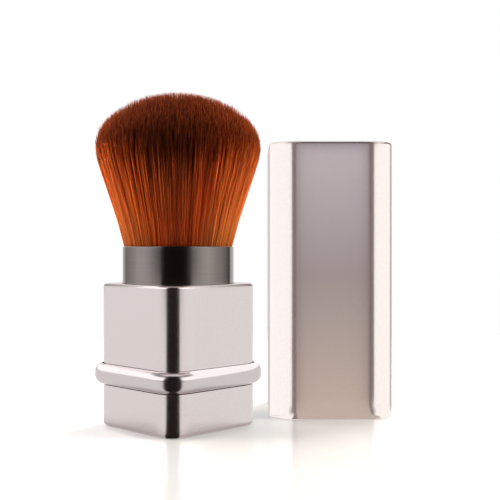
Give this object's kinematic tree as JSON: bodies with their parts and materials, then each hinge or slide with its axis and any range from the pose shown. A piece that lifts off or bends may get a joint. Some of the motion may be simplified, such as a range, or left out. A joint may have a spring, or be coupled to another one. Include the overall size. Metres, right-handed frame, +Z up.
{
  "type": "retractable makeup brush",
  "caption": "Twist-up makeup brush with a dense domed head, a square rounded metal case with a bead ring, and its pull-off square cap standing beside it.",
  "frame": {"origin": "centre of the base's flat underside, where the brush stands", "axes": "+Z up along the brush from base to bristles, -Y to the front where a rounded corner of the case points, +X towards the cap that stands beside it"},
  "size_m": [0.0717, 0.0549, 0.0779],
  "materials": {
    "satin_metal": "satin, slightly pink silver",
    "polished_metal": "polished plating",
    "dark_metal": "gloss gunmetal plating",
    "plain_steel": "plain",
    "moulded_plastic": "moulded, light grey",
    "slip_plastic": "moulded, natural white",
    "soft_rubber": "matte black",
    "cast_resin": "cast, amber",
    "bristle_fibre": "synthetic fibre, orange-brown below and dark brown at the tips"
  },
  "bodies": {
    "base": {"base_shell": "satin_metal", "base_insert": "moulded_plastic", "base_weight": "plain_steel", "cam_sleeve": "slip_plastic", "drag_washer": "soft_rubber"},
    "neck": {"bead_ring": "polished_metal", "neck_shell": "satin_metal", "neck_insert": "moulded_plastic", "guide_tube": "slip_plastic", "retaining_clip": "plain_steel"},
    "head": {"head_carrier": "moulded_plastic", "follower_pin_left": "plain_steel", "follower_pin_right": "plain_steel", "ferrule": "dark_metal", "bristle_plug": "cast_resin", "bristles": "bristle_fibre"},
    "cap": {"cap_shell": "satin_metal", "cap_liner": "moulded_plastic"}
  },
  "joints": [
    {"name": "neck_twist", "type": "hinge", "parent": "base", "child": "neck", "pos_m": [0, 0, 0.0097], "axis": [0, 0, 1], "range_deg": [0, 180]},
    {"name": "head_slide", "type": "slide", "parent": "neck", "child": "head", "axis": [0, 0, 1], "range_m": [-0.0085, 0]},
    {"name": "cap_pull", "type": "slide", "parent": "base", "child": "cap", "axis": [0, 0, 1], "range_m": [0, 0.064]}
  ],
  "couplings": [
    {"joint": "head_slide", "follows": "neck_twist", "m_per_rad": -0.0027056}
  ]
}
